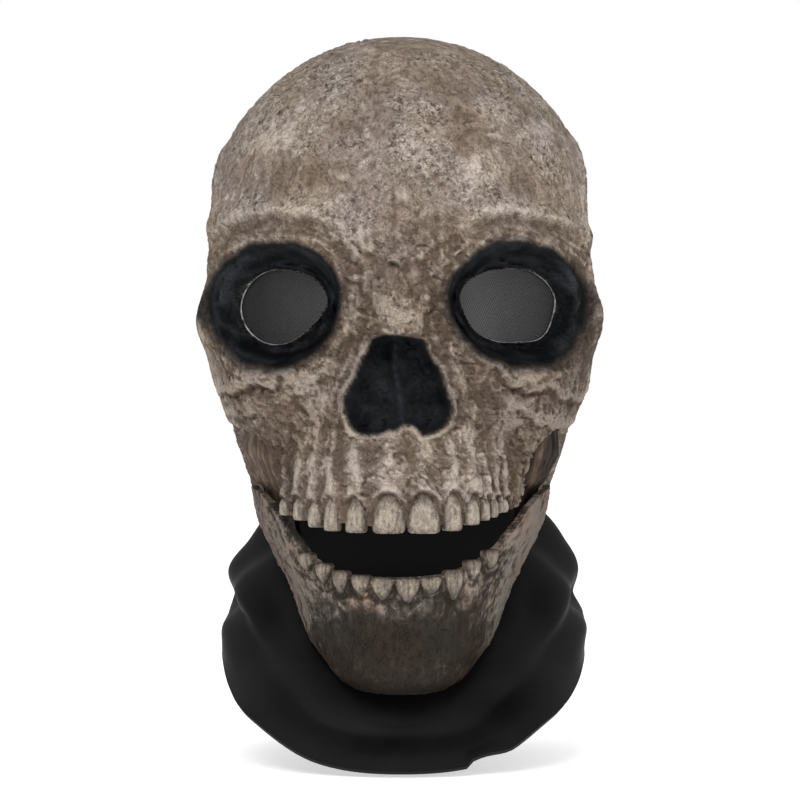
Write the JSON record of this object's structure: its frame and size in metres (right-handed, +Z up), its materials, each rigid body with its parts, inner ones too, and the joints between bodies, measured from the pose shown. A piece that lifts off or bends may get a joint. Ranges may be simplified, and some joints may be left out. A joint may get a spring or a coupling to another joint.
{
  "type": "skull hood mask",
  "caption": "Full-head latex skull mask with open jaw, dark gauze eyes, brown cheek webs and a black neck skirt, worn over the whole head.",
  "frame": {"origin": "inside of the crown, where the mask rests on the top of the wearer's head", "axes": "+Z up out of the crown, -Y the way the face looks, +X to the wearer's left"},
  "size_m": [0.1815, 0.2208, 0.324],
  "materials": {
    "bone_latex": "matte painted, dry-brushed bone over brown, black in the sockets",
    "jaw_latex": "matte painted bone, darker brown at the chin",
    "web_latex": "satin dark brown",
    "eye_gauze": "dark open weave",
    "black_latex": "satin matte black"
  },
  "bodies": {
    "root": {"skull_shell": "bone_latex", "jaw_shell": "jaw_latex", "cheek_web_left": "web_latex", "cheek_web_right": "web_latex", "eye_mesh_left": "eye_gauze", "eye_mesh_right": "eye_gauze", "neck_skirt": "black_latex"}
  },
  "joints": []
}
